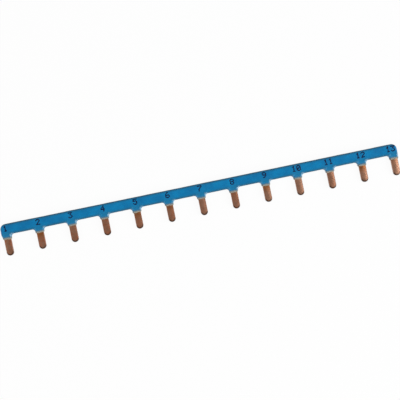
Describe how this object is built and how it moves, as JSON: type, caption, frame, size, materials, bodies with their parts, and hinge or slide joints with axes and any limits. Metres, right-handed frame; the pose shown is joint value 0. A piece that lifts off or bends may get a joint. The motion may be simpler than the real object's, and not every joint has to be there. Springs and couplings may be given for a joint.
{
  "type": "comb busbar",
  "caption": "Flat copper comb busbar in a blue insulating coat, with a straight bar and a row of bare round-tipped pins for linking modular devices.",
  "frame": {"origin": "on the coat's back face, at the middle of the bar's height and on the axis of the middle pin", "axes": "+X along the bar, -Y the way the pins point, +Z from the back face to the front face"},
  "size_m": [0.2189, 0.0173, 0.003],
  "materials": {
    "copper": "rolled copper, browned, with a dull sheen",
    "blue_coat": "dipped insulating coat, smooth, half gloss"
  },
  "bodies": {
    "root": {"copper_comb": "copper", "insulation_coat": "blue_coat"}
  },
  "joints": []
}
